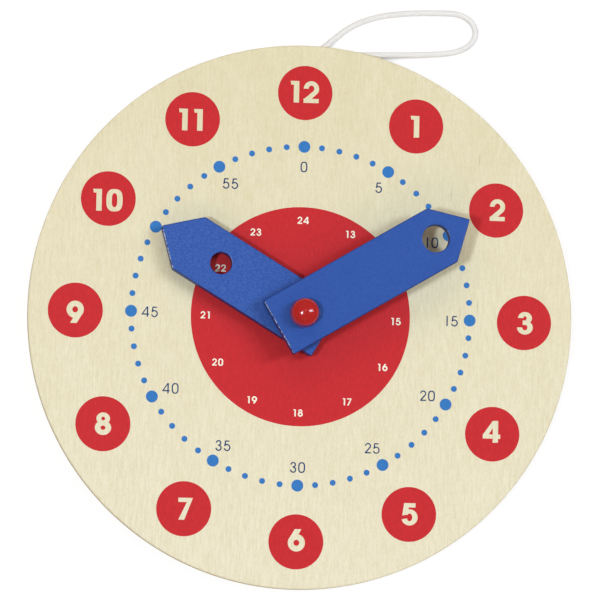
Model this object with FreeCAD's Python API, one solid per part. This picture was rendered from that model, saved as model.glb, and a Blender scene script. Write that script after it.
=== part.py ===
"""Wooden teaching clock: a printed plywood dial, two hands on one peg, and a cord to hang it by.

The clock lies on its back. Its origin is the middle of the back face of the dial, +Z comes out of the
printed face, +Y points to 12 o'clock and +X to 3 o'clock. All sizes are millimetres.
"""
import FreeCAD, Part
import math
import os

from FreeCAD import Vector

os.makedirs("parts", exist_ok=True)

# Dial: a disc of plywood with sanded edges
dial_diameter = 210.0
dial_thickness = 6.0
dial_edge_chamfer = 0.6

# Rings of the printed dial that the sight holes in the hands look down on
minute_ring_radius = 58.4
day_ring_radius = 36.9

# Hands: flat wooden bars with a square tail and a pointed tip
hand_width = 23.6
hand_thickness = 6.0
hand_tail = 11.3
hand_point = 12.4
hand_corner_radius = 0.8
hand_edge_radius = 0.5
hole_edge_chamfer = 0.3
minute_tip_past_ring = 15.25
minute_sight_diameter = 10.6
minute_angle = 59.0
hour_tip_past_ring = 27.0
hour_sight_diameter = 8.4
hour_angle = 300.75

# Peg: a turned head, a little narrower at the top, on a plain shank that is glued into the dial
shank_diameter = 6.0
shank_chamfer = 0.6
shank_end_setback = 0.4
head_diameter = 11.4
head_top_diameter = 10.1
head_wall = 4.2
head_dome_rise = 2.4
head_edge_radius = 0.9
head_under_chamfer = 0.3

# Washers: they keep the painted hands off the dial, off each other and off the head
washer_thickness = 1.0
washer_diameter = 16.0
head_washer_diameter = 10.4

# Clearances of the stack: in the turning holes, in the glued hole, in the washers and between flat faces
turning_clearance = 0.08
glue_clearance = 0.03
washer_clearance = 0.15
face_clearance = 0.1

# Recess in the back of the dial at 12 o'clock, open at the rim, where the cord is fastened
recess_width = 58.0
recess_reach = 17.0
recess_depth = 3.4
recess_corner_radius = 5.0

# Staple: one square wire bent over both strands of the cord, its legs driven into the roof of the recess
staple_wire = 0.7
staple_bend_radius = 0.3
staple_from_rim = 12.4
staple_leg_bite = 1.6
staple_hole_clearance = 0.04
staple_back_setback = 0.15
strand_offset = 1.6
strand_clearance = 0.35

# Hanging cord: its diameter, how many sides its solid has, and its route from one end under the staple,
# round the loop, to the other end
cord_diameter = 2.4
cord_sides = 12
corner_run_share = 0.45
cord_route = [
    (-1.5, 90.6, 2.1), (-1.4, 94.8, 2.1), (0.4, 99.0, 1.9), (4.2, 102.6, 1.5), (10.5, 108.0, 1.25),
    (17.5, 113.8, 1.25), (27.5, 117.9, 1.25), (40.0, 119.7, 1.25), (53.0, 120.15, 1.25), (60.2, 120.0, 1.25),
    (65.3, 116.7, 1.25), (66.7, 111.5, 1.25), (63.6, 107.1, 1.25), (57.9, 104.7, 1.25), (49.5, 103.7, 1.25),
    (37.0, 103.1, 1.25), (24.5, 102.8, 1.25), (15.0, 102.35, 1.3), (8.6, 101.5, 1.5), (4.1, 98.7, 1.9),
    (1.9, 94.6, 2.1), (1.5, 90.6, 2.1),
]

# How far a cutting tool runs past the face that it opens
overrun = 1.0

# Heights of the stack, from the back of the dial upwards
washer_pitch = washer_thickness + 2 * face_clearance
dial_washer_base = dial_thickness + face_clearance
hour_base = dial_thickness + washer_pitch
hand_washer_base = hour_base + hand_thickness + face_clearance
minute_base = hour_base + hand_thickness + washer_pitch
head_washer_base = minute_base + hand_thickness + face_clearance
head_base = minute_base + hand_thickness + washer_pitch

dial_radius = dial_diameter / 2
shank_radius = shank_diameter / 2
staple_y = dial_radius - staple_from_rim
staple_leg_x = strand_offset + cord_diameter / 2 + strand_clearance + staple_wire / 2
staple_top = recess_depth + staple_leg_bite


def save(shape, node):
    """Write one piece under its node name and print its size."""
    box = shape.optimalBoundingBox()
    print("%-14s %d solid(s), %.1f x %.1f x %.1f mm, %.1f mm3, valid %s" % (
        node, len(shape.Solids), box.XLength, box.YLength, box.ZLength, shape.Volume, shape.isValid()))
    shape.exportStep("parts/%s.step" % node)


def disc(diameter, thickness, base):
    """A plain disc on the Z axis, standing on the height base."""
    return Part.makeCylinder(diameter / 2, thickness, Vector(0, 0, base))


def upright_bar(width, x, y, bottom, top):
    """A square upright bar about the line through x and y."""
    return Part.makeBox(width, width, top - bottom, Vector(x - width / 2, y - width / 2, bottom))


def edges_at_heights(shape, heights, keep):
    """The edges that lie flat at one of the heights and whose middle the test keep accepts."""
    tolerance = face_clearance / 10
    found = []
    for edge in shape.Edges:
        box = edge.BoundBox
        flat = box.ZLength < tolerance
        level = any(abs(box.ZMin - height) < tolerance for height in heights)
        if flat and level and keep(edge):
            found.append(edge)
    return found


def dial_board():
    """The dial: a disc with broken edges, a hole for the peg, the cord's recess and the staple's holes."""
    board = disc(dial_diameter, dial_thickness, 0)
    rims = edges_at_heights(board, [0, dial_thickness], lambda edge: True)
    board = board.makeChamfer(dial_edge_chamfer, rims)
    peg_hole = disc(shank_diameter + 2 * glue_clearance, dial_thickness + 2 * overrun, -overrun)

    recess = Part.makeBox(
        recess_width, recess_reach + overrun, recess_depth + overrun,
        Vector(-recess_width / 2, dial_radius - recess_reach, -overrun))
    inner_corners = []
    for edge in recess.Edges:
        box = edge.BoundBox
        if box.ZLength > recess_depth and box.YMax < dial_radius:
            inner_corners.append(edge)
    recess = recess.makeFillet(recess_corner_radius, inner_corners)

    board = board.cut(peg_hole).cut(recess)
    for side in (-1, 1):
        board = board.cut(upright_bar(
            staple_wire + 2 * staple_hole_clearance, side * staple_leg_x, staple_y,
            0, staple_top + staple_hole_clearance))
    return board


def hand(sight_radius, tip_past_ring, sight_diameter, base, angle):
    """A hand: a bar with a square tail and a pointed tip, a turning hole, and a sight hole over its ring.

    It is drawn pointing to 12 o'clock and then turned clockwise to its angle.
    """
    half = hand_width / 2
    reach = sight_radius + tip_past_ring
    shoulder = reach - hand_point
    corners = [(-half, -hand_tail), (half, -hand_tail), (half, shoulder), (0, reach), (-half, shoulder)]
    outline = [Vector(x, y, base) for x, y in corners]
    bar = Part.Face(Part.makePolygon(outline + outline[:1])).extrude(Vector(0, 0, hand_thickness))
    uprights = [edge for edge in bar.Edges if edge.BoundBox.ZLength > hand_thickness / 2]
    bar = bar.makeFillet(hand_corner_radius, uprights)
    levels = [base, base + hand_thickness]
    bar = bar.makeFillet(hand_edge_radius, edges_at_heights(bar, levels, lambda edge: True))

    depth = hand_thickness + 2 * overrun
    turning_hole = disc(shank_diameter + 2 * turning_clearance, depth, base - overrun)
    sight_centre = Vector(0, sight_radius, base - overrun)
    sight_hole = Part.makeCylinder(sight_diameter / 2, depth, sight_centre)
    bar = bar.cut(turning_hole).cut(sight_hole)

    def on_sight_hole(edge):
        middle = edge.BoundBox.Center
        return math.hypot(middle.x, middle.y - sight_radius) < hole_edge_chamfer

    bar = bar.makeChamfer(hole_edge_chamfer, edges_at_heights(bar, levels, on_sight_hole))
    bar.rotate(Vector(0, 0, 0), Vector(0, 0, 1), -angle)
    return bar


def washer(diameter, base):
    """A flat washer on the peg's shank."""
    ring = disc(diameter, washer_thickness, base)
    hole = disc(shank_diameter + 2 * washer_clearance, washer_thickness + 2 * overrun, base - overrun)
    return ring.cut(hole)


def centre_peg():
    """The peg: its half section is turned about the Z axis, and the head's two edges are then broken."""
    head_radius = head_diameter / 2
    top_radius = head_top_diameter / 2
    wall_top = head_base + head_wall
    crown = wall_top + head_dome_rise
    dome_radius = (top_radius ** 2 + head_dome_rise ** 2) / (2 * head_dome_rise)
    halfway = top_radius / 2
    dome_middle = crown - dome_radius + math.sqrt(dome_radius ** 2 - halfway ** 2)

    section = [
        Vector(0, 0, shank_end_setback),
        Vector(shank_radius - shank_chamfer, 0, shank_end_setback),
        Vector(shank_radius, 0, shank_end_setback + shank_chamfer),
        Vector(shank_radius, 0, head_base),
        Vector(head_radius, 0, head_base),
        Vector(top_radius, 0, wall_top),
    ]
    edges = [Part.LineSegment(a, b).toShape() for a, b in zip(section[:-1], section[1:])]
    edges.append(Part.Arc(section[-1], Vector(halfway, 0, dome_middle), Vector(0, 0, crown)).toShape())
    edges.append(Part.LineSegment(Vector(0, 0, crown), section[0]).toShape())
    peg = Part.Face(Part.Wire(edges)).revolve(Vector(0, 0, 0), Vector(0, 0, 1), 360)

    def on_head_rim(edge):
        return edge.BoundBox.XMax > (shank_radius + head_radius) / 2

    peg = peg.makeFillet(head_edge_radius, edges_at_heights(peg, [wall_top], on_head_rim))
    peg = peg.makeChamfer(head_under_chamfer, edges_at_heights(peg, [head_base], on_head_rim))
    return peg


def rounded_path(points, corner_radii):
    """One wire of straight runs through the points, each corner rounded by an arc tangent to both runs."""
    edges = []
    start = points[0]
    for before, corner, after, radius in zip(points[:-2], points[1:-1], points[2:], corner_radii):
        back = (before - corner).normalize()
        ahead = (after - corner).normalize()
        half_turn = (math.pi - back.getAngle(ahead)) / 2
        tangent = radius * math.tan(half_turn)
        enter = corner + back * tangent
        leave = corner + ahead * tangent
        inward = (back + ahead).normalize()
        middle = corner + inward * (radius / math.cos(half_turn) - radius)
        edges.append(Part.LineSegment(start, enter).toShape())
        edges.append(Part.Arc(enter, middle, leave).toShape())
        start = leave
    edges.append(Part.LineSegment(start, points[-1]).toShape())
    return Part.Wire(edges)


def many_sided_section(centre, heading, diameter, sides):
    """A regular polygon inside a circle, square to the heading."""
    across = heading.cross(Vector(0, 0, 1)).normalize()
    upward = across.cross(heading)
    corners = []
    for step in range(sides):
        turn = 2 * math.pi * step / sides
        corners.append(centre + (across * math.cos(turn) + upward * math.sin(turn)) * (diameter / 2))
    return Part.makePolygon(corners + corners[:1])


def cord_staple():
    """The staple: a square wire bent at two corners, crown towards the back, legs up into the wood."""
    half_width = staple_leg_x + staple_wire / 2
    outer = Part.makeBox(
        2 * half_width, staple_wire, staple_top - staple_back_setback,
        Vector(-half_width, staple_y - staple_wire / 2, staple_back_setback))
    inner_half = half_width - staple_wire
    crown_top = staple_back_setback + staple_wire
    inner = Part.makeBox(
        2 * inner_half, staple_wire + 2 * overrun, staple_top - crown_top + overrun,
        Vector(-inner_half, staple_y - staple_wire / 2 - overrun, crown_top))
    outer = outer.makeFillet(staple_bend_radius + staple_wire, bend_edges(outer, staple_back_setback))
    inner = inner.makeFillet(staple_bend_radius, bend_edges(inner, crown_top))
    return outer.cut(inner)


def bend_edges(block, height):
    """The two edges of a block that run along Y at the height, where the staple's wire is bent."""
    return edges_at_heights(block, [height], lambda edge: edge.BoundBox.XLength < edge.BoundBox.YLength)


def hanging_cord():
    """The cord: straight runs from point to point of its route, with arcs as large as the runs allow."""
    points = [Vector(*point) for point in cord_route]
    radii = []
    for before, corner, after in zip(points[:-2], points[1:-1], points[2:]):
        back = before - corner
        ahead = after - corner
        half_turn = (math.pi - back.getAngle(ahead)) / 2
        radii.append(corner_run_share * min(back.Length, ahead.Length) / math.tan(half_turn))
    path = rounded_path(points, radii)
    section = many_sided_section(points[0], (points[1] - points[0]).normalize(), cord_diameter, cord_sides)
    cord = path.makePipeShell([section], True, False)
    print("cord radii, mm:", ", ".join("%.1f" % radius for radius in radii))
    print("cord length %.1f mm, volume over section times length %.4f" % (
        path.Length, cord.Volume / (Part.Face(section).Area * path.Length)))
    return cord


save(dial_board(), "dial_board")
save(washer(washer_diameter, dial_washer_base), "dial_washer")
save(
    hand(day_ring_radius, hour_tip_past_ring, hour_sight_diameter, hour_base, hour_angle), "hour_hand")
save(washer(washer_diameter, hand_washer_base), "hand_washer")
save(
    hand(minute_ring_radius, minute_tip_past_ring, minute_sight_diameter, minute_base, minute_angle),
    "minute_hand")
save(washer(head_washer_diameter, head_washer_base), "head_washer")
save(centre_peg(), "centre_peg")
save(cord_staple(), "cord_staple")
save(hanging_cord(), "hanging_cord")
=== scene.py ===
# %% [markdown]
# # A wooden teaching clock
#
# The clock is a round plywood board, printed in red and blue, with two painted hands that turn on one
# domed peg, and a braided cord to hang it by. It lies on its back on a white table.
#
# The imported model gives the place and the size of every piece, in metres. This lesson dresses those
# pieces: it makes finer surfaces for them, prints the dial, and gives each surface a finish. Shapes are
# worked out in millimetres, with numpy, as whole arrays of points.

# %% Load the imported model
import math

import bmesh
import bpy
import numpy as np
from mathutils import Matrix, Vector
from mathutils.geometry import delaunay_2d_cdt


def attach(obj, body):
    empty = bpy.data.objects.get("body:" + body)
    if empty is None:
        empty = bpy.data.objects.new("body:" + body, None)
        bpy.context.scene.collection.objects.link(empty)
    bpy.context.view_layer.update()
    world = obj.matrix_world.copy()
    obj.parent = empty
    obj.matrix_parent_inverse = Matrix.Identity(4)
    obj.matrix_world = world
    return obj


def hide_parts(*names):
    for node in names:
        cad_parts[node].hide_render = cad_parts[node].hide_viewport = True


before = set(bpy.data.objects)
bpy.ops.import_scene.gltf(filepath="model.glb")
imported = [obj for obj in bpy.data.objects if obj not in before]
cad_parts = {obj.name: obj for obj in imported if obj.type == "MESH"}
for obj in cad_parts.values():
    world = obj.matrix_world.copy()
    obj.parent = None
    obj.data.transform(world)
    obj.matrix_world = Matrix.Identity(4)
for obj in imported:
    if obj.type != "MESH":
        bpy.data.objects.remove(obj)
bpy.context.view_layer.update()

MM = 0.001
print("packed nodes:", ", ".join(sorted(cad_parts)))

# %% [markdown]
# ## The camera
#
# A long lens looks down on the clock from a little below and left of its middle. The picture leans a
# little: 12 o'clock isn't quite straight up. A camera's own axes are its right, its up and its back, so
# its turn is a matrix of those three, worked out from its place, the point it looks at and the lean.

# %% Make the camera
camera_place = Vector((-0.1739, -0.1691, 1.9134))
look_at = Vector((-0.00048, 0.00621, 0.006))
picture_lean = math.radians(1.2)
lens_length = 300.0
sensor_width = 36.0

camera_data = bpy.data.cameras.new("camera")
camera_data.lens = lens_length
camera_data.sensor_width = sensor_width
camera_data.clip_start = 0.1
camera_data.clip_end = 10.0
camera = bpy.data.objects.new("camera", camera_data)
bpy.context.scene.collection.objects.link(camera)

forward = (look_at - camera_place).normalized()
leaning_up = Vector((-math.sin(picture_lean), math.cos(picture_lean), 0.0))
right = forward.cross(leaning_up).normalized()
up = right.cross(forward)
turn = Matrix((right, up, -forward)).transposed()
camera.matrix_world = Matrix.Translation(camera_place) @ turn.to_4x4()
bpy.context.scene.camera = camera
bpy.context.scene.view_settings.view_transform = "Standard"
print("camera stands %.2f m above the dial" % camera_place.z)

# %% [markdown]
# ## Surfaces from arrays
#
# A shape here is an array of points: rows along one parameter, columns along the other. One helper
# joins neighbours into four-sided faces. Another puts parts together into one mesh, merges the points
# that meet and turns every face outwards.


# %% Helpers: from arrays to meshes
def grid_faces(rows, columns, closed=True):
    """Four-sided faces between neighbours of a grid; its columns may run round into a ring."""
    row = np.arange(rows - 1)[:, None]
    column = np.arange(columns if closed else columns - 1)[None, :]
    next_column = (column + 1) % columns
    corners = np.stack([
        row * columns + column, row * columns + next_column,
        (row + 1) * columns + next_column, (row + 1) * columns + column], axis=-1)
    return corners.reshape(-1, 4).tolist()


def make_piece(name, parts, material, body="dial", merge=True, smooth=True):
    """A mesh object at the origin from (points, faces) parts in millimetres, each part's faces counted
    on from the last part's. Its points are merged where they meet and its faces turned outwards."""
    clouds = [np.reshape(points, (-1, 3)) for points, _ in parts]
    starts = np.cumsum([0] + [len(cloud) for cloud in clouds]).tolist()
    faces = [[corner + start for corner in face] for (_, own), start in zip(parts, starts) for face in own]
    mesh = bpy.data.meshes.new(name)
    mesh.from_pydata((np.concatenate(clouds) * MM).tolist(), [], faces)
    form = bmesh.new()
    form.from_mesh(mesh)
    if merge:
        bmesh.ops.remove_doubles(form, verts=form.verts, dist=0.002 * MM)
        bmesh.ops.dissolve_degenerate(form, edges=form.edges, dist=0.001 * MM)
    bmesh.ops.recalc_face_normals(form, faces=form.faces)
    form.to_mesh(mesh)
    form.free()
    if smooth:
        mesh.shade_smooth()
        mesh.set_sharp_from_angle(angle=math.radians(40))
    mesh.materials.append(material)
    piece = bpy.data.objects.new(name, mesh)
    bpy.context.scene.collection.objects.link(piece)
    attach(piece, body)
    print("%-18s %6d faces" % (name, len(mesh.polygons)))
    return piece


# %% [markdown]
# ## Finishes
#
# A material is put together node by node. A small class keeps that short: each of its methods adds one
# node and gives back the socket that comes out of it. Patterns are laid on the object's own
# coordinates, and their sizes are written in millimetres.


# %% Helper: a material made step by step
def tint(red, green, blue):
    """A colour given by its levels on a screen, from 0 to 255, as the linear values that shaders take:
    each level over 255, raised by the screen's own curve, with a straight part near black."""
    level = np.array([red, green, blue]) / 255
    linear = np.where(level > 0.04045, ((level + 0.055) / 1.055) ** 2.4, level / 12.92)
    return (*linear.tolist(), 1.0)


class Finish:
    """A material, or the surroundings, under construction."""

    def __init__(self, name, family=bpy.data.materials):
        self.owner = family.new(name)
        self.owner.use_nodes = True
        self.nodes = self.owner.node_tree.nodes
        self.nodes.clear()

    def node(self, kind, settings=(), **inputs):
        """Add a node, set its options, and give its inputs values or join them to sockets. An input is
        named by its label, or as i and its number."""
        node = self.nodes.new(kind)
        for option, value in dict(settings).items():
            setattr(node, option, value)
        for name, value in inputs.items():
            numbered = name[0] == "i" and name[1:].isdigit()
            socket = node.inputs[int(name[1:]) if numbered else name.replace("_", " ")]
            if isinstance(value, bpy.types.NodeSocket):
                self.owner.node_tree.links.new(value, socket)
            else:
                socket.default_value = value
        return node

    def place(self, size, heading=0.0):
        """Object coordinates counted in steps of the given sizes, after a clockwise heading is undone."""
        here = self.node("ShaderNodeTexCoord").outputs["Object"]
        return self.node(
            "ShaderNodeMapping", {"vector_type": "TEXTURE"}, Vector=here,
            Rotation=(0, 0, -math.radians(heading)), Scale=[step * MM for step in size]).outputs[0]

    def noise(self, size, low, high, heading=0.0, detail=2.0):
        """Cloudy noise whose middle part, from low to high, is stretched to the range from 0 to 1."""
        clouds = self.node(
            "ShaderNodeTexNoise", Vector=self.place(size, heading), Scale=1.0, Detail=detail).outputs[0]
        return self.stretch(clouds, low, high)

    def flecks(self, size, radius, share):
        """Sparse dots, in a share of the cells of a scattered pattern, soft at their edges."""
        cells = self.node("ShaderNodeTexVoronoi", Vector=self.place(size), Scale=1.0)
        near = self.stretch(cells.outputs["Distance"], radius, radius / 3)
        chosen = self.node("ShaderNodeSeparateColor", Color=cells.outputs["Color"]).outputs["Red"]
        return self.sum("MULTIPLY", near, self.sum("LESS_THAN", chosen, share))

    def leaning(self, first, last):
        """How far the surface leans over: 0 while the upward part of its own normal is above the first
        value, and 1 when it is below the last."""
        normal = self.node("ShaderNodeTexCoord").outputs["Normal"]
        return self.stretch(self.sum("ABSOLUTE", self.part(normal, "Z"), 0.0), first, last)

    def stretch(self, value, low, high, **ends):
        """A value whose range from low to high becomes that from 0 to 1, or that between other ends."""
        return self.node("ShaderNodeMapRange", Value=value, From_Min=low, From_Max=high, **ends).outputs[0]

    def part(self, vector, axis):
        """The part of a vector along one axis."""
        return self.node("ShaderNodeSeparateXYZ", Vector=vector).outputs[axis]

    def sum(self, kind, first, second):
        """One calculation with two values, of the kind that is named."""
        return self.node("ShaderNodeMath", {"operation": kind}, i0=first, i1=second).outputs[0]

    def mix(self, factor, first, second):
        """A blend of two colours: the first at factor 0 and the second at factor 1."""
        return self.node("ShaderNodeMix", {"data_type": "RGBA"}, i0=factor, i6=first, i7=second).outputs[2]

    def close(self, colour, height=None, depth=0.03, **inputs):
        """Join a principled surface to the output, with bumps of a depth in millimetres."""
        if height is not None:
            inputs["Normal"] = self.node("ShaderNodeBump", Height=height, Distance=depth * MM).outputs[0]
        surface = self.node("ShaderNodeBsdfPrincipled", Base_Color=colour, **inputs)
        self.node("ShaderNodeOutputMaterial", Surface=surface.outputs[0])
        return self.owner


# %% Plywood
ply_thickness = 1.2


def plywood():
    """Pale veneer with its grain towards 12 o'clock: short fine streaks and pores, clouds, a few brown
    flecks, and a slow change to a paler tone towards 6 o'clock. On the sides every second ply is darker:
    a height in plies, divided by two, leaves more than one."""
    wood = Finish("plywood")
    streaks = wood.noise((0.8, 7, 7), 0.34, 0.66, detail=4.0)
    pores = wood.sum("MULTIPLY", wood.noise((0.4, 1.1, 1.1), 0.45, 0.7), 0.22)
    clouds = wood.sum("MULTIPLY", wood.noise((11, 26, 26), 0.3, 0.7, detail=4.0), 0.6)
    shimmer = wood.sum("MULTIPLY", wood.noise((6, 3.0, 6), 0.3, 0.7), 0.3)
    flecks = wood.sum("MULTIPLY", wood.flecks((2.2, 30, 30), 0.11, 0.07), 0.5)
    paler = wood.stretch(wood.part(wood.place((100, 100, 100)), "Y"), 1.0, -1.0, To_Max=0.6)
    face = wood.mix(clouds, tint(236, 226, 190), tint(226, 213, 172))
    face = wood.mix(shimmer, face, tint(240, 232, 204))
    face = wood.mix(paler, face, tint(250, 242, 218))
    face = wood.mix(wood.sum("MULTIPLY", streaks, 0.3), face, tint(214, 199, 152))
    face = wood.mix(pores, face, tint(206, 188, 140))
    face = wood.mix(flecks, face, tint(170, 136, 88))
    plies = wood.part(wood.place((ply_thickness,) * 3), "Z")
    crossed = wood.sum("GREATER_THAN", wood.sum("FLOORED_MODULO", plies, 2.0), 1.0)
    side = wood.mix(crossed, tint(214, 200, 160), tint(170, 146, 102))
    colour = wood.mix(wood.leaning(0.6, 0.2), face, side)
    return wood.close(colour, height=streaks, depth=0.02, Roughness=0.5, Specular_IOR_Level=0.25)


# %% Inks, paints and the rest
def ink(name, colour, pore_tone_and_edge_highlight):
    """A thin flat ink: the wood's pores show through it as faint short marks."""
    layer = Finish(name)
    pores = layer.noise((0.5, 1.8, 1.8), 0.3, 0.7, detail=3.0)
    shown = layer.mix(layer.sum("MULTIPLY", pores, 0.8), tint(*colour), tint(*pore_tone_and_edge_highlight))
    return layer.close(shown, height=pores, depth=0.01, Roughness=0.5, Specular_IOR_Level=0.2)


def hand_paint(name, heading, mottle, highlight_heading):
    """Satin blue paint over wood. Fine marks run along the hand, as strong as its mottle, and the sides
    are a darker blue: painted shade. On the softened edge that faces one heading, where the surface
    leans halfway over, a pale painted highlight lies, broken up in places."""
    paint = Finish(name)
    angle = math.radians(highlight_heading)
    highlight_facing = Vector((math.sin(angle), math.cos(angle), 1.0)).normalized()
    normal = paint.node("ShaderNodeTexCoord").outputs["Normal"]
    likeness = paint.node("ShaderNodeVectorMath", {"operation": "DOT_PRODUCT"}, i0=normal, i1=highlight_facing)
    edge = paint.stretch(likeness.outputs["Value"], 0.9, 0.97)
    # Painted highlight: a pale tone on the softened edge that faces the left lamp, broken up by noise.
    pore_tone_and_edge_highlight = paint.sum("MULTIPLY", edge, paint.noise((0.9, 0.9, 0.9), 0.42, 0.65))
    marks = paint.noise((0.4, 1.3, 1.3), 0.38, 0.68, heading, detail=3.0)
    clouds = paint.sum("MULTIPLY", paint.noise((7, 12, 12), 0.3, 0.7, heading), 0.5)
    colour = paint.mix(clouds, tint(37, 79, 161), tint(41, 83, 165))
    colour = paint.mix(paint.sum("MULTIPLY", marks, mottle), colour, tint(74, 110, 188))
    # Painted shade: the upright sides, the walls of the holes among them, turn a darker blue.
    colour = paint.mix(paint.leaning(0.95, 0.6), colour, tint(22, 48, 118))
    colour = paint.mix(pore_tone_and_edge_highlight, colour, tint(214, 222, 240))
    return paint.close(colour, height=marks, depth=0.03, Roughness=0.4, Specular_IOR_Level=0.25)


def plain_finish(name, colour, other, size, depth, **inputs):
    """A nearly even surface: two close tones in a fine noise, which also gives small bumps."""
    skin = Finish(name)
    grain = skin.noise(size, 0.35, 0.65)
    return skin.close(skin.mix(grain, tint(*colour), tint(*other)), height=grain, depth=depth, **inputs)


hour_angle = 300.75
minute_angle = 59.0
left_slope_heading = -46.4
square_end_heading = 180.0
board_wood = plywood()
red_ink = ink("red_ink", (211, 39, 44), (194, 33, 39))
dot_ink = ink("dot_ink", (55, 125, 195), (45, 114, 184))
minute_ink = ink("minute_ink", (5, 60, 112), (4, 52, 98))
white_ink = ink("white_ink", (255, 249, 230), (250, 240, 214))
# The last argument is the heading of the edge that gets the painted highlight.
hour_paint = hand_paint("hour_hand_blue", hour_angle, 0.6, hour_angle + left_slope_heading)
minute_paint = hand_paint("minute_hand_blue", minute_angle, 0.2, minute_angle + square_end_heading)
peg_paint = plain_finish(
    "peg_red", (187, 28, 28), (178, 25, 26), (0.8, 0.8, 0.8), 0.012, Roughness=0.16, Specular_IOR_Level=0.6)
nylon = plain_finish(
    "nylon", (226, 223, 212), (220, 217, 205), (1, 1, 1), 0.01, Roughness=0.5, Specular_IOR_Level=0.4)
steel = plain_finish(
    "drawn_steel", (172, 172, 174), (150, 150, 152), (0.3, 0.3, 2), 0.01, Roughness=0.35, Metallic=1.0)
cord_fibre = plain_finish(
    "cord_fibre", (244, 241, 237), (238, 235, 231), (0.25, 0.25, 0.25), 0.005, Roughness=0.7,
    Specular_IOR_Level=0.3)

# %% [markdown]
# ## The hanging cord
#
# A thin white cord goes under a staple at 12 o'clock, comes out at the rim, lies in a long narrow loop
# on the table and comes back. Its line is a smooth curve drawn through a short list of given points. The
# cord itself is a braid: eight strands wind one way round a core and eight the other way, and they pass
# over and under each other.

# %% The cord's route as a smooth curve
cord_diameter = 2.4
cord_route = [
    (-1.5, 90.6, 2.1), (-1.4, 94.8, 2.1), (0.4, 99.0, 1.9), (4.2, 102.6, 1.5), (10.5, 108.0, 1.25),
    (17.5, 113.8, 1.25), (27.5, 117.9, 1.25), (40.0, 119.7, 1.25), (53.0, 120.15, 1.25), (60.2, 120.0, 1.25),
    (65.3, 116.7, 1.25), (66.7, 111.5, 1.25), (63.6, 107.1, 1.25), (57.9, 104.7, 1.25), (49.5, 103.7, 1.25),
    (37.0, 103.1, 1.25), (24.5, 102.8, 1.25), (15.0, 102.35, 1.3), (8.6, 101.5, 1.5), (4.1, 98.7, 1.9),
    (1.9, 94.6, 2.1), (1.5, 90.6, 2.1),
]

route_data = bpy.data.curves.new("cord_route", "CURVE")
route_data.dimensions = "3D"
route_data.resolution_u = 24
route_spline = route_data.splines.new("NURBS")
route_spline.points.add(len(cord_route) - 1)
for point, place in zip(route_spline.points, cord_route):
    point.co = (*(Vector(place) * MM), 1.0)
route_spline.order_u = 3
route_spline.use_endpoint_u = True
route_object = bpy.data.objects.new("cord_route", route_data)
route_mesh = bpy.data.meshes.new_from_object(route_object)
cord_line = np.array([vertex.co for vertex in route_mesh.vertices]) / MM
bpy.data.objects.remove(route_object)
bpy.data.meshes.remove(route_mesh)

cord_steps = np.linalg.norm(np.diff(cord_line, axis=0), axis=1)
cord_along = np.concatenate([[0.0], np.cumsum(cord_steps)])
cord_length = cord_along[-1]
print("cord length %.1f mm in %d points" % (cord_length, len(cord_line)))


# %% The braid
def line_frames(line):
    """Along a line: its heading from neighbouring points, its level side and its up."""
    heading = np.gradient(line, axis=0)
    heading /= np.linalg.norm(heading, axis=1)[:, None]
    side = np.cross(heading, [0.0, 0.0, 1.0])
    side /= np.linalg.norm(side, axis=1)[:, None]
    return heading, side, np.cross(side, heading)


def braid_strands(line, along, strands, turn_length, middle_radius, wave, half_width, half_height):
    """Strands that wind round a line, half of them each way. A strand's angle grows with the length
    passed, one full turn in each turn_length. Its distance from the line is the middle radius plus a
    wave: a cosine that is up where the strand crosses over others and down where it crosses under. Its
    section is a low arch, wide along the cord's skin and thin away from it."""
    heading, side, upward = line_frames(line)
    half = strands // 2
    way = np.repeat([1.0, -1.0], half)[:, None]
    number = np.tile(np.arange(half), 2)[:, None]
    turns = 2 * np.pi * along[None, :] / turn_length
    angle = number * 2 * np.pi / half + way * turns
    radius = middle_radius + wave * way * np.cos(half * turns + np.pi * number)
    cos, sin = np.cos(angle)[..., None], np.sin(angle)[..., None]
    outward = cos * side + sin * upward
    slope = 2 * np.pi * middle_radius / turn_length
    across = (cos * upward - sin * side - way[..., None] * slope * heading) / math.hypot(1.0, slope)
    middle = line + radius[..., None] * outward
    arch = np.radians([0, 40, 90, 140, 180, 270])[None, None, :, None]
    return (middle[:, :, None, :] + half_width * np.cos(arch) * across[:, :, None, :]
            + half_height * np.sin(arch) * outward[:, :, None, :])


def tube(line, radius, sides):
    """A round tube: at each point of the line a ring of one radius, square to the line."""
    _, side, upward = line_frames(line)
    angle = (np.arange(sides) * 2 * np.pi / sides)[None, :, None]
    return line[:, None, :] + radius * (np.cos(angle) * side[:, None, :] + np.sin(angle) * upward[:, None, :])


def capped(surface):
    """A tube's faces, with one face more over each end."""
    rows, columns = surface.shape[:2]
    ends = [list(range(columns)), list(range((rows - 1) * columns, rows * columns))]
    return surface, grid_faces(rows, columns) + ends


strand_step = 0.4
strand_count = 16
braid_turn = 7.6
strand_half_height = 0.16
strand_wave = 0.08
strand_half_width = 0.42
strand_middle = cord_diameter / 2 - strand_half_height - strand_wave

even_along = np.linspace(0.0, cord_length, int(cord_length / strand_step))
even_line = np.column_stack([np.interp(even_along, cord_along, cord_line[:, axis]) for axis in range(3)])
strands = braid_strands(
    even_line, even_along, strand_count, braid_turn, strand_middle, strand_wave, strand_half_width,
    strand_half_height)
cord_parts = [capped(strand) for strand in strands] + [capped(tube(even_line[::3], strand_middle, 12))]
hanging_cord = make_piece("hanging_cord_braid", cord_parts, cord_fibre, merge=False)
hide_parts("hanging_cord")

# %% [markdown]
# ## Table and light
#
# The clock lies on a plain white table. To the camera the table is nearly its own light, so that it
# stays white, and only a part of its shading shows, which keeps a soft shadow beside the clock. Its own
# light fades where something lies close over it. All other rays pass through the table, and meet
# surroundings that are as bright below as a white table is, and dimmer above. A small lamp on the left
# and a long one on the right give the shadows and the highlights, a small one overhead a third highlight,
# and two wide ones, towards 6 and 12 o'clock, fill in.

# %% Table
table_half = 3.0
table_glow = 0.88
table_white = 0.15
fade_reach = 0.03
faded_glow = 0.3 * table_glow

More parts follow.
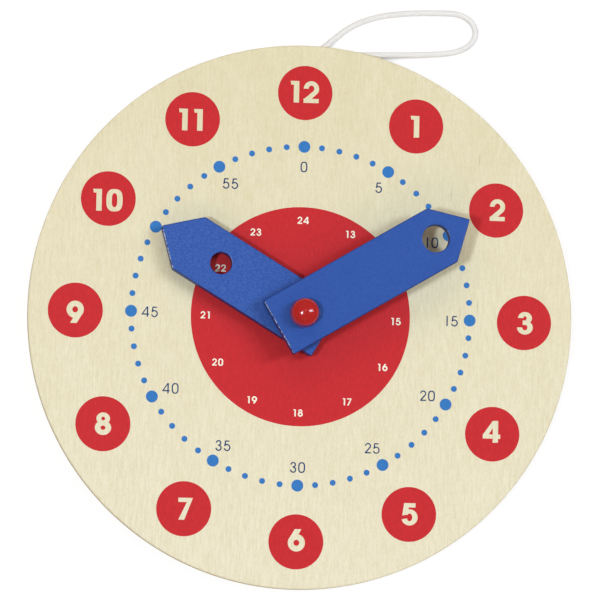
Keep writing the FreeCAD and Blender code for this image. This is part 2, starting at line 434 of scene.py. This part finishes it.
table_mesh = bpy.data.meshes.new("table")
corners = [(-table_half, -table_half, 0), (table_half, -table_half, 0)]
corners += [(table_half, table_half, 0), (-table_half, table_half, 0)]
table_mesh.from_pydata(corners, [], [(0, 1, 2, 3)])
table = bpy.data.objects.new("table", table_mesh)
bpy.context.scene.collection.objects.link(table)

cloth = Finish("white_table")
openness = cloth.node("ShaderNodeAmbientOcclusion", Distance=fade_reach).outputs["AO"]
own_light = cloth.stretch(openness, 0.1, 0.45, To_Min=faded_glow, To_Max=table_glow)
glow = cloth.node("ShaderNodeEmission", Strength=own_light).outputs[0]
shade = cloth.node("ShaderNodeBsdfDiffuse", Color=(table_white, table_white, table_white, 1)).outputs[0]
lit = cloth.node("ShaderNodeAddShader", i0=glow, i1=shade).outputs[0]
clear = cloth.node("ShaderNodeBsdfTransparent").outputs[0]
camera_ray = cloth.node("ShaderNodeLightPath").outputs["Is Camera Ray"]
below = cloth.node("ShaderNodeNewGeometry").outputs["Backfacing"]
from_above = cloth.node(
    "ShaderNodeMath", {"operation": "SUBTRACT", "use_clamp": True}, i0=camera_ray, i1=below).outputs[0]
choice = cloth.node("ShaderNodeMixShader", i0=from_above, i1=clear, i2=lit).outputs[0]
cloth.node("ShaderNodeOutputMaterial", Surface=choice)
table_mesh.materials.append(cloth.owner)

# %% Surroundings and lamps
room_light = (0.27, 0.22, 0.166, 1)
table_light = (0.95, 0.93, 0.9, 1)
white = (1, 1, 1, 1)
room = Finish("white_room", bpy.data.worlds)
outlook = room.node("ShaderNodeNewGeometry").outputs["Position"]
above = room.stretch(room.part(outlook, "Z"), -0.1, 0.0)
rays = room.node("ShaderNodeLightPath").outputs
seen = room.sum("MAXIMUM", rays["Is Camera Ray"], rays["Is Transmission Ray"])
around = room.mix(seen, room.mix(above, table_light, room_light), white)
background = room.node("ShaderNodeBackground", Color=around).outputs[0]
room.node("ShaderNodeOutputWorld", Surface=background)
bpy.context.scene.world = room.owner


def area_lamp(name, side, ahead, distance, size, level, colour, shines=True):
    """A lamp that faces the clock. Its direction is given by two angles in degrees from straight up: to
    the side, towards 3 o'clock, and ahead, towards 12 o'clock. Its level is the part of a white
    surface's brightness that it gives at the clock: power is level times pi squared times distance
    squared, over the cosine of its slant. A lamp that doesn't shine makes no highlights."""
    direction = Vector((math.tan(math.radians(side)), math.tan(math.radians(ahead)), 1.0)).normalized()
    data = bpy.data.lights.new(name, "AREA")
    data.shape = "RECTANGLE"
    data.size, data.size_y = size
    data.color = colour
    data.energy = level * math.pi ** 2 * distance ** 2 / direction.z
    lamp = bpy.data.objects.new(name, data)
    lamp.visible_glossy = shines
    lamp.location = direction * distance
    lamp.rotation_mode = "QUATERNION"
    lamp.rotation_quaternion = (-direction).to_track_quat("-Z", "Y")
    bpy.context.scene.collection.objects.link(lamp)
    print("%s: %.1f W at %.1f m" % (name, data.energy, distance))


cool = (0.85, 1.0, 1.17)
warm = (1.21, 1.0, 0.77)
area_lamp("left_lamp", -23.0, -7.0, 1.5, (0.16, 0.16), 0.36, cool)
area_lamp("right_lamp", 37.0, 12.0, 1.6, (0.25, 0.75), 0.28, cool)
area_lamp("near_lamp", -4.0, -48.0, 1.6, (1.0, 0.7), 0.06, warm, shines=False)
area_lamp("far_lamp", -6.0, 46.0, 1.6, (1.0, 0.7), 0.09, warm, shines=False)
area_lamp("high_lamp", 2.0, 14.0, 1.6, (0.08, 0.08), 0.02, cool)

# %% [markdown]
# ## Outlines and plates
#
# The board and the hands are plates. An outline is kept as points, each with the direction into the wood
# beside it. An edge of any form is then a section, given as distances into the wood and heights, that is
# carried along the outline. The flat faces between outlines are filled with triangles.


# %% Helpers: outlines
def circle(radius, steps, centre=(0.0, 0.0), hole=False):
    """A ring of points at one distance from its centre. The wood is towards the centre inside a rim, and
    away from it outside a hole."""
    angle = np.arange(steps) * 2 * np.pi / steps
    spoke = np.column_stack([np.cos(angle), np.sin(angle)])
    return np.array(centre) + radius * spoke, (spoke if hole else -spoke)


def rounded_outline(corners, radius, steps):
    """A closed outline with an arc at each corner. The arc's centre lies one radius inside both sides,
    and its angle runs from square to the side before to square to the side after."""
    corners = np.asarray(corners, float)
    before = corners - np.roll(corners, 1, axis=0)
    before /= np.linalg.norm(before, axis=1)[:, None]
    after = np.roll(before, -1, axis=0)
    inward = np.column_stack([-before[:, 1], before[:, 0]])
    turning = np.arctan2((inward * after).sum(axis=1), (before * after).sum(axis=1))
    middle = corners - before * (radius * np.tan(turning / 2))[:, None] + inward * radius
    start = np.arctan2(-inward[:, 1], -inward[:, 0])
    angle = start[:, None] + turning[:, None] * np.linspace(0, 1, steps)
    spoke = np.stack([np.cos(angle), np.sin(angle)], axis=-1)
    return (middle[:, None, :] + radius * spoke).reshape(-1, 2), -spoke.reshape(-1, 2)


def turned_outline(outline, degrees):
    """The outline turned clockwise about the middle of the dial."""
    cos, sin = math.cos(math.radians(degrees)), math.sin(math.radians(degrees))
    turn = np.array([[cos, -sin], [sin, cos]])
    return outline[0] @ turn, outline[1] @ turn


def edge_section(bottom, top, rounding, steps=5, ledge=0.25):
    """Distances into the wood and heights, from the bottom face to the top face: a short ledge on each
    face, which keeps the face's shading flat, and a quarter circle at each edge."""
    angle = np.linspace(0, np.pi / 2, steps)
    inset = np.concatenate([[rounding + ledge], rounding * (1 - np.sin(angle))])
    height = np.concatenate([[0.0], rounding * (1 - np.cos(angle))])
    return np.concatenate([inset, inset[::-1]]), np.concatenate([bottom + height, top - height[::-1]])


def carried_edge(outline, section):
    """The section carried round the outline: each point moves into the wood by the section's distance."""
    points, inward = outline
    inset, height = section
    flat = points[None, :, :] + inset[:, None, None] * inward[None, :, :]
    level = np.broadcast_to(height[:, None, None], flat.shape[:2] + (1,))
    return np.concatenate([flat, level], axis=-1), grid_faces(len(inset), len(points))


def within(places, polygon):
    """Whether each place lies inside a polygon: a ray to the right of it crosses an odd number of sides."""
    x, y = places[:, :1], places[:, 1:]
    (x0, y0), (x1, y1) = polygon.T, np.roll(polygon, -1, axis=0).T
    rise = np.where(y1 == y0, 1.0, y1 - y0)
    crossed = ((y0 > y) != (y1 > y)) & (x < x0 + (y - y0) * (x1 - x0) / rise)
    return crossed.sum(axis=1) % 2 == 1


def shape(wanted, left_out=()):
    """Triangles over the polygons that are wanted, however they overlap, less those left out. All their
    sides are kept as edges of one triangulation, and each triangle is judged by its middle."""
    polygons = [*wanted, *left_out]
    starts = np.cumsum([0] + [len(polygon) for polygon in polygons]).tolist()
    sides = [(a + i, a + (i + 1) % (b - a)) for a, b in zip(starts[:-1], starts[1:]) for i in range(b - a)]
    points = [Vector(point) for point in np.vstack(polygons)]
    found, _, triangles, *_ = delaunay_2d_cdt(points, sides, [], 0, 1e-6)
    flat = np.array([tuple(point) for point in found])
    triangles = np.array(triangles)
    middles = flat[triangles].mean(axis=1)
    kept = np.any([within(middles, polygon) for polygon in wanted], axis=0)
    for polygon in left_out:
        kept &= ~within(middles, polygon)
    return flat, triangles[kept]


def filled(loops, height):
    """Triangles between closed loops of points: inside the first and outside the others."""
    flat, triangles = shape(loops[:1], loops[1:])
    return np.column_stack([flat, np.full(len(flat), height)]), triangles.tolist()


def plate(edges):
    """A plate from (outline, section) pairs, the rim first and then the holes: every edge is carried
    round its outline, and two fills close the plate below and above."""
    parts = [carried_edge(outline, section) for outline, section in edges]
    for end in (0, -1):
        loops = [outline[0] + section[0][end] * outline[1] for outline, section in edges]
        parts.append(filled(loops, edges[0][1][1][end]))
    return parts


# %% [markdown]
# ## The board
#
# The board is a disc with softened edges and a hole for the peg. On its back a shallow recess runs out
# to the rim at 12 o'clock. The rim is therefore made as two strips that meet at the height of the
# recess's roof: a full ring above it, and below it a ring that leaves the recess open.

# %% Board
dial_radius = 105.0
dial_top = 6.0
dial_rounding = 0.6
peg_hole_radius = 3.03
recess_half = 29.0
recess_inner = 88.0
recess_roof = 3.4
recess_corner = 5.0
staple_hole_half = 0.39
staple_hole_top = 5.04
staple_leg_x = 3.5
staple_y = 92.6
rim_stations = 660
recess_stations = 61

inset, height = edge_section(0.0, dial_top, dial_rounding)
half_rows = len(inset) // 2
lower_radii = dial_radius - np.append(inset[:half_rows], 0.0)
lower_heights = np.append(height[:half_rows], recess_roof)


def open_rim(radii):
    """Stations round each radius from the recess's left end to its right end, anticlockwise. The ends
    stand where the circle meets the recess's side walls: the sine of their angle from 12 o'clock is
    half the recess's width over the radius."""
    spread = np.arcsin(recess_half / radii)[:, None]
    share = np.linspace(0, 1, rim_stations)[None, :]
    angle = np.pi / 2 + spread + share * (2 * np.pi - 2 * spread)
    return radii[:, None] * np.cos(angle), radii[:, None] * np.sin(angle)


x, y = open_rim(lower_radii)
lower_rim = np.stack([x, y, np.broadcast_to(lower_heights[:, None], x.shape)], axis=-1)

spread = math.asin(recess_half / dial_radius)
over_recess = np.pi / 2 - spread + 2 * spread * np.linspace(0, 1, recess_stations + 2)
roof_rim = dial_radius * np.column_stack([np.cos(over_recess), np.sin(over_recess)])
full_rim = np.vstack([lower_rim[-1, :, :2], roof_rim[1:-1]])
upper_section = (
    np.concatenate([[0.0], inset[half_rows:]]), np.concatenate([[recess_roof], height[half_rows:]]))
upper_rim = carried_edge((full_rim, -full_rim / dial_radius), upper_section)

quarter = np.radians(np.linspace(0, 90, 9))
corner_arc = recess_corner * np.column_stack([1 - np.cos(quarter), 1 - np.sin(quarter)])
left_path = corner_arc + [-recess_half, recess_inner]
right_path = (left_path * [-1, 1])[::-1]
inner_path = np.vstack([left_path, right_path])
ledge_end = lower_rim[0, -1, :2]
wall_plan = np.vstack([ledge_end * [-1, 1], inner_path, ledge_end])
wall_rows = len(lower_heights) - 1
walls = np.zeros((wall_rows, len(wall_plan) + 2, 3))
walls[:, 1:-1, :2] = wall_plan
walls[:, 0] = lower_rim[1:, 0]
walls[:, -1] = lower_rim[1:, -1]
walls[:, :, 2] = lower_heights[1:, None]

bottom_loop = np.vstack([lower_rim[0, :, :2], inner_path[::-1]])
roof_loop = np.vstack([walls[-1, :, :2], roof_rim[1:-1]])
square = staple_hole_half * np.array([(-1, -1), (1, -1), (1, 1), (-1, 1)])
staple_holes = [square + [side * staple_leg_x, staple_y] for side in (-1, 1)]
peg_hole = circle(peg_hole_radius, 96, hole=True)
top_loop = full_rim * (dial_radius - upper_section[0][-1]) / dial_radius

board_parts = [
    (lower_rim, grid_faces(*lower_rim.shape[:2], closed=False)), upper_rim,
    (walls, grid_faces(*walls.shape[:2], closed=False)),
    carried_edge(peg_hole, (np.zeros(2), np.array([0.0, dial_top]))),
    filled([bottom_loop, peg_hole[0]], 0.0), filled([roof_loop, *staple_holes], recess_roof),
    filled([top_loop, peg_hole[0]], dial_top)]
for hole in staple_holes:
    board_parts.append(carried_edge((hole, hole * 0), (np.zeros(2), np.array([recess_roof, staple_hole_top]))))
    board_parts.append(filled([hole], staple_hole_top))
board = make_piece("dial_plywood", board_parts, board_wood)
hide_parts("dial_board")

# %% [markdown]
# ## Numerals
#
# Each figure is drawn from two kinds of strokes, in a box one unit high: straight bars, and bows that
# follow a piece of an ellipse. The stem's width and the bar's thickness are given, so that the same
# drawing serves the bold hours and the thin minutes. Overlapping strokes are joined into one shape.


# %% Strokes
def bar(*corners):
    """A straight stroke: one polygon."""
    return np.array(corners)[None, :, :]


def bow(centre, radii, thickness, start, end, squareness=2.0, steps=44):
    """A bent stroke: quads between an outer and an inner rounded line. A point of either line is the
    centre plus the radii times the cosine and the sine, each raised to two over the squareness."""
    angle = np.radians(np.linspace(start, end, steps))
    round_part = np.column_stack([np.cos(angle), np.sin(angle)])
    direction = np.sign(round_part) * np.abs(round_part) ** (2 / squareness)
    outer = np.array(centre) + np.array(radii) * direction
    inner = np.array(centre) + (np.array(radii) - np.array(thickness)) * direction
    return np.stack([outer[:-1], outer[1:], inner[1:], inner[:-1]], axis=1)


def figure(digit, s, b):
    """The width and the strokes of one digit, for a stem of width s and bars of thickness b."""
    if digit == "0":
        w = 0.59 + 0.62 * s
        return w, [bow((w / 2, 0.5), (w / 2, 0.515), (s, b), 0, 360, 2.7)]
    if digit == "1":
        f = 0.155 if s > 0.15 else 0.0
        strokes = [bar((f, 0), (f + s, 0), (f + s, 1), (f, 1))]
        if f:
            strokes.append(bar((0, 1), (0.2 * f, 1 - 0.9 * b), (f, 1 - 0.9 * b), (f, 1)))
        return f + s, strokes
    if digit == "2":
        w = 0.46 + s
        r = w / 2
        top = bow((r, 1.01 - r), (r, r), (0.9 * s, 1.05 * b), 180, -35)
        outer, inner = top[-1][1], top[-1][2]
        base = bar((0, 0), (w - 0.01, 0), (w - 0.01, b), (0, b))
        return w, [top, bar(outer, (1.5 * s, b), (0, 0), (0, 0.8 * b), inner), base]
    if digit == "3":
        w = 0.48 + s
        thin = s < 0.15
        low, high = 0.275 + 0.19 * s, 0.235 + 0.2 * s
        lower = bow((w / 2, low - 0.02), (w / 2, low), (s, b), 180, 445 if thin else 435)
        upper = bow((w / 2, 1.02 - high), (0.44 * w, high), (s, b), 180, -85 if thin else -60)
        x0, x1, y0, y1 = (0.4 * w, 0.55 * w, 0.53 - b / 2, 0.53 + b / 2) if thin else (0.26, 0.45, 0.42, 0.63)
        return w, [lower, upper, bar((x0, y0), (x1, y0), (x1, y1), (x0, y1))]
    if digit == "4":
        w = 0.60 + 0.82 * s
        x, y0 = w - 0.1, 0.22 - 0.16 * s
        y1 = y0 + b
        slope = bar(
            (0, y0), (1.1 * s, y0), (1.1 * s, y1), (x - s, 1 - 1.33 * s), (x, 1), (x - s, 1), (0, y1 - 0.02))
        return w, [bar((x - s, 0), (x, 0), (x, 1), (x - s, 1)), bar((0, y0), (w, y0), (w, y1), (0, y1)), slope]
    if digit == "5":
        w = 0.56 + 0.8 * s
        rx, ry = 0.29 + 0.33 * s, 0.32 + 0.2 * s
        bowl = bow((w - rx, ry - 0.02), (rx, ry), (s, b), 195, 505)
        stem = bar(
            (0.05, 0.43), (0.06 + 0.8 * s, 0.47), (0.09 + 0.95 * s, 0.62), (0.13 + 0.9 * s, 1), (0.13, 1))
        return w, [bowl, stem, bar((0.13, 1 - b), (w - 0.107, 1 - b), (w - 0.107, 1), (0.13, 1))]
    if digit in "69":
        w = 0.60 + 0.74 * s
        r = w / 2
        ring = bow((r, r - 0.015), (r, r + 0.005), (1.04 * s, 1.04 * s), 0, 360)
        reach = 1.22 * s
        tail = bar((0.035, 0.53), (0.25, 0.5), (0.11 + reach, 0.66), (0.31 + reach, 1), (0.31, 1))
        return w, [ring, tail] if digit == "6" else [np.array([w, 1.0]) - ring, np.array([w, 1.0]) - tail]
    if digit == "7":
        w = 0.54 + 0.5 * s
        top = bar((0, 1 - b), (w - 0.075, 1 - b), (w, 1), (0, 1))
        slope = bar((0.015, 0), (0.015 + 1.1 * s, 0), (w, 1), (w - 0.8 * s, 1), (w - 1.08 * s, 1 - b))
        return w, [top, slope]
    w = 0.56 + 0.74 * s
    r = w / 2
    lower = bow((r, 0.32), (r, 0.335), (1.06 * s, 1.22 * b), 0, 360)
    upper = bow((r, 0.735), (0.83 * r, 0.28), (0.9 * s, b), 0, 360)
    return w, [lower, upper]


# %% Numerals and slabs
def numeral(text, s, b, gap, one_gap):
    """The strokes of a number's digits side by side, as polygons one unit high about the middle of their
    box. A style is the stem's width, the bar's thickness, the gap between digits, and how much wider the
    gap is beside a figure 1, which is narrow."""
    polygons, x = [], 0.0
    for place, digit in enumerate(text):
        if place:
            x += gap + one_gap * (text[place - 1:place + 1].count("1"))
        width, strokes = figure(digit, s, b)
        polygons += [polygon + [x, 0.0] for stroke in strokes for polygon in stroke]
        x += width
    return [polygon - [x / 2, 0.5] for polygon in polygons]


def slab(points, triangles, bottom, top):
    """A flat shape with a thickness: its triangles above and below, and a wall on each outer edge. An
    outer edge belongs to one triangle only."""
    edges = np.vstack([triangles[:, [0, 1]], triangles[:, [1, 2]], triangles[:, [2, 0]]])
    _, where, uses = np.unique(np.sort(edges, axis=1), axis=0, return_index=True, return_counts=True)
    outer = edges[where[uses == 1]]
    count = len(points)
    low = np.column_stack([points, np.full(count, bottom)])
    high = np.column_stack([points, np.full(count, top)])
    walls = np.column_stack([outer, outer[:, ::-1] + count])
    faces = triangles[:, ::-1].tolist() + (triangles + count).tolist() + walls.tolist()
    return np.vstack([low, high]), faces


def ring_place(radius, degrees):
    """The point at a distance from the middle, clockwise from 12 o'clock."""
    angle = math.radians(degrees)
    return np.array([radius * math.sin(angle), radius * math.cos(angle)])


# %% [markdown]
# ## The print
#
# Three rings are printed on the face: twelve red discs with the hours left bare in them, sixty blue dots
# with the minutes in thin figures beside them, and a red middle with the hours from 13 to 24 in white.

# %% Rings and discs
ink_foot = dial_top - 0.01
ink_top = dial_top + 0.03
white_top = dial_top + 0.05
hour_ring_radius = 86.65
hour_disc_radius = 10.55
hour_cap = 8.42
hour_style = (0.25, 0.195, 0.125, 0.08)
dot_ring_radius = 65.4
big_dot_radius = 2.3
small_dot_radius = 1.15
middle_radius = 42.3

red_shift = np.array([-0.13, -0.17])
blue_shift = np.array([-0.02, 0.16])


def printed(name, shapes, top, material):
    """Several flat shapes as one printed piece."""
    parts = [slab(*flat_shape, ink_foot, top) for flat_shape in shapes]
    return make_piece(name, parts, material, smooth=False)


def disc(place, radius, steps):
    """A round polygon at a place."""
    return circle(radius, steps, place)[0]


def ring_numerals(texts, radius, cap, style, nudges):
    """The polygons of upright numerals, the first at 12 o'clock and the next every 30 degrees. The print
    isn't laid out exactly, so each numeral has a nudge of its own, to the right and up."""
    places = [ring_place(radius, 30 * step) + nudge for step, nudge in enumerate(np.array(nudges))]
    return [[polygon * cap + place for polygon in numeral(text, *style)] for text, place in zip(texts, places)]


hours = ["12"] + [str(hour) for hour in range(1, 12)]
hour_nudges = [
    (-0.32, 0.23), (-0.61, -0.27), (0.40, -0.03), (0.25, -0.26), (-0.39, 0.78), (0.10, -0.04), (0.06, 0.52),
    (0.53, -0.17), (-0.04, -0.16), (-0.18, -0.93), (-0.32, -0.75), (-0.85, -0.36)]
hour_numerals = ring_numerals(hours, hour_ring_radius, hour_cap, hour_style, hour_nudges)
hour_places = [ring_place(hour_ring_radius, 30 * hour) + red_shift for hour in range(12)]
printed("hour_discs", [
    shape([disc(place, hour_disc_radius, 120)], strokes) for place, strokes in zip(hour_places, hour_numerals)
], ink_top, red_ink)
printed("middle_disc", [shape([disc(red_shift, middle_radius, 360)], [peg_hole[0]])], ink_top, red_ink)

big_dots = [disc(ring_place(dot_ring_radius, 30 * step) + blue_shift, big_dot_radius, 40) for step in range(12)]
small_dots = [
    disc(ring_place(dot_ring_radius, 6 * step) + blue_shift, small_dot_radius, 24)
    for step in range(60) if step % 5]
printed("minute_dots", [shape([dot]) for dot in big_dots + small_dots], ink_top, dot_ink)

# %% Printed numerals
day_numeral_radius = 37.1
day_cap = 2.75
day_style = (0.20, 0.165, 0.17, 0.10)
minute_numeral_radius = 58.1
minute_cap = 4.0
minute_style = (0.124, 0.115, 0.181, 0.14)

day_hours = ["24"] + [str(hour) for hour in range(13, 24)]
day_nudges = [
    (0.13, -0.06), (0.02, 0.02), (-0.13, -0.17), (-0.29, -1.06), (-0.13, -0.36), (-0.02, -0.43), (-0.32, -0.24),
    (0.44, -0.65), (0.44, -0.08), (0.20, -0.60), (0.73, -0.88), (0.49, -0.17)]
day_numerals = ring_numerals(day_hours, day_numeral_radius, day_cap, day_style, day_nudges)
printed("day_numerals", [shape(strokes) for strokes in day_numerals], white_top, white_ink)
minutes = [str(minute) for minute in range(0, 60, 5)]
minute_nudges = [
    (-0.02, -0.36), (0.04, 0.31), (0.09, 0.86), (0.49, -0.24), (-0.74, -0.33), (-0.45, 0.15), (-0.07, -0.18),
    (0.12, -0.33), (0.76, -0.15), (-0.09, 0.03), (0.0, -0.13), (0.75, 0.12)]
minute_numerals = ring_numerals(minutes, minute_numeral_radius, minute_cap, minute_style, minute_nudges)
printed("minute_numerals", [shape(strokes) for strokes in minute_numerals], ink_top, minute_ink)

# %% [markdown]
# ## Hands
#
# Both hands are flat wooden bars with a square tail and a pointed tip. Each is drawn pointing to 12
# o'clock and then turned clockwise. It has a hole for the peg, and a sight hole over the numerals that
# it points out. Board, hands and the peg's head lie a pitch apart: a washer and a running gap on either
# side of it.

# %% Hands
hand_half = 11.8
hand_tail = 11.3
hand_point = 12.4
hand_thickness = 6.0
hand_corner = 0.8
hand_rounding = 0.5
turning_radius = 3.08
turning_rounding = 0.05
sight_rounding = 0.3
washer_thickness = 1.0
running_gap = 0.1
pitch = washer_thickness + 2 * running_gap
hour_base = dial_top + pitch
minute_base = hour_base + hand_thickness + pitch
head_base = minute_base + hand_thickness + pitch
hour_sight = 36.9
hour_sight_radius = 4.2
hour_reach = hour_sight + 27.0
minute_sight = 58.4
minute_sight_radius = 5.3
minute_reach = minute_sight + 15.25


def make_hand(name, node, body, material, sight, sight_radius, reach, base, angle):
    """One hand from its sizes: where its sight hole is, how far it reaches, and how high it lies."""
    shoulder = reach - hand_point
    corners = [(-hand_half, -hand_tail), (hand_half, -hand_tail), (hand_half, shoulder), (0, reach),
               (-hand_half, shoulder)]
    top = base + hand_thickness
    edges = [
        (rounded_outline(corners, hand_corner, 7), edge_section(base, top, hand_rounding)),
        (circle(turning_radius, 64, hole=True), edge_section(base, top, turning_rounding, 3)),
        (circle(sight_radius, 96, (0, sight), hole=True), edge_section(base, top, sight_rounding))]
    parts = plate([(turned_outline(outline, angle), section) for outline, section in edges])
    piece = make_piece(name, parts, material, body)
    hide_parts(node)


make_hand("hour_hand_wood", "hour_hand", "hour", hour_paint, hour_sight, hour_sight_radius, hour_reach,
          hour_base, hour_angle)
make_hand("minute_hand_wood", "minute_hand", "minute", minute_paint, minute_sight, minute_sight_radius,
          minute_reach, minute_base, minute_angle)

# %% [markdown]
# ## Peg, washers and staple
#
# The peg and the washers are turned about the upright axis. The staple is a square wire that follows a
# bent line.


# %% Turned pieces
def turned(profile, steps):
    """A profile of distances and heights taken round the upright axis: x is the distance times the
    cosine of the angle, and y is the distance times its sine."""
    profile = np.asarray(profile, float)
    angle = (np.arange(steps) * 2 * np.pi / steps)[None, :]
    surface = np.stack([
        profile[:, :1] * np.cos(angle), profile[:, :1] * np.sin(angle),
        np.broadcast_to(profile[:, 1:], (len(profile), steps))], axis=-1)
    return surface, grid_faces(len(profile), steps)


shank_radius = 3.0
shank_end = 0.4
shank_chamfer = 0.6
head_radius = 5.7
top_radius = 5.05
head_wall = 4.2
head_rise = 2.4
head_rounding = 0.9
dome_radius = (top_radius ** 2 + head_rise ** 2) / (2 * head_rise)
dome_centre = np.array([0.0, head_base + head_wall + head_rise - dome_radius])


def arc(centre, radius, start, end, steps):
    """Points of an arc between two angles, counted up from level."""
    angle = np.linspace(start, end, steps)
    return centre + radius * np.column_stack([np.cos(angle), np.sin(angle)])


# The rounding's middle lies on a line beside the wall, where it is the dome's radius less its own away
# from the dome's middle: a root of a quadratic in the distance along the wall.
lean = math.atan2(head_radius - top_radius, head_wall)
outward = np.array([math.cos(lean), math.sin(lean)])
upward = np.array([-math.sin(lean), math.cos(lean)])
start = np.array([head_radius, head_base]) - head_rounding * outward - dome_centre
climb = math.sqrt((dome_radius - head_rounding) ** 2 - start @ start + (start @ upward) ** 2) - start @ upward
middle = start + climb * upward
meeting = math.atan2(middle[1], middle[0])
under_edge = np.array([(-0.6, 0.0), (-0.3, 0.0), (-0.12, 0.08), (-0.05, 0.3)])
peg_profile = np.vstack([
    [(0, shank_end), (shank_radius - shank_chamfer, shank_end), (shank_radius, shank_end + shank_chamfer)],
    [(shank_radius, head_base)], under_edge + [head_radius, head_base],
    arc(dome_centre + middle, head_rounding, lean, meeting, 9),
    arc(dome_centre, dome_radius, meeting, np.pi / 2, 20)[1:]])
peg_profile[-1, 0] = 0.0
peg = make_piece("centre_peg_turned", [turned(peg_profile, 128)], peg_paint)
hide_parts("centre_peg")


washer_bore = 3.15
washer_radius = 8.0
head_washer_radius = 5.2
washer_softening = 0.12


def make_washer(name, node, outer, seat):
    """A flat ring with softened edges, a running gap above its seat: its profile is a closed loop."""
    base = seat + running_gap
    inner, top, soft = washer_bore, base + washer_thickness, washer_softening
    profile = [
        (inner, base + soft), (inner + soft, base), (outer - soft, base), (outer, base + soft),
        (outer, top - soft), (outer - soft, top), (inner + soft, top), (inner, top - soft),
        (inner, base + soft)]
    washer = make_piece(name, [turned(profile, 96)], nylon)
    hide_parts(node)


make_washer("dial_washer_ring", "dial_washer", washer_radius, dial_top)
make_washer("hand_washer_ring", "hand_washer", washer_radius, hour_base + hand_thickness)
make_washer("head_washer_ring", "head_washer", head_washer_radius, minute_base + hand_thickness)

# %% Staple
wire_half = 0.35
wire_chamfer = 0.06
bend_middle = 0.65
crown_z = 0.5
leg_top = 5.0
bend = np.radians(np.linspace(0, 90, 8))
left_bend = np.column_stack([
    -staple_leg_x + bend_middle * (1 - np.cos(bend)), crown_z + bend_middle * (1 - np.sin(bend))])
staple_path = np.vstack([
    [(-staple_leg_x, leg_top)], left_bend, (left_bend * [-1, 1])[::-1], [(staple_leg_x, leg_top)]])
ahead = np.gradient(staple_path, axis=0)
ahead[[0, -1]] = [(0, -1), (0, 1)]
ahead /= np.linalg.norm(ahead, axis=1)[:, None]
square_side = np.column_stack([-ahead[:, 1], ahead[:, 0]])
edge, shy = wire_half, wire_half - wire_chamfer
wire_section = np.array([
    (-edge, -shy), (-shy, -edge), (shy, -edge), (edge, -shy), (edge, shy), (shy, edge), (-shy, edge),
    (-edge, shy)])
in_plane = staple_path[:, None, :] + wire_section[None, :, :1] * square_side[:, None, :]
level = np.broadcast_to(staple_y + wire_section[None, :, 1], in_plane.shape[:2])
wire = np.stack([in_plane[:, :, 0], level, in_plane[:, :, 1]], axis=-1)
staple = make_piece("cord_staple_wire", [capped(wire)], steel)
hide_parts("cord_staple")
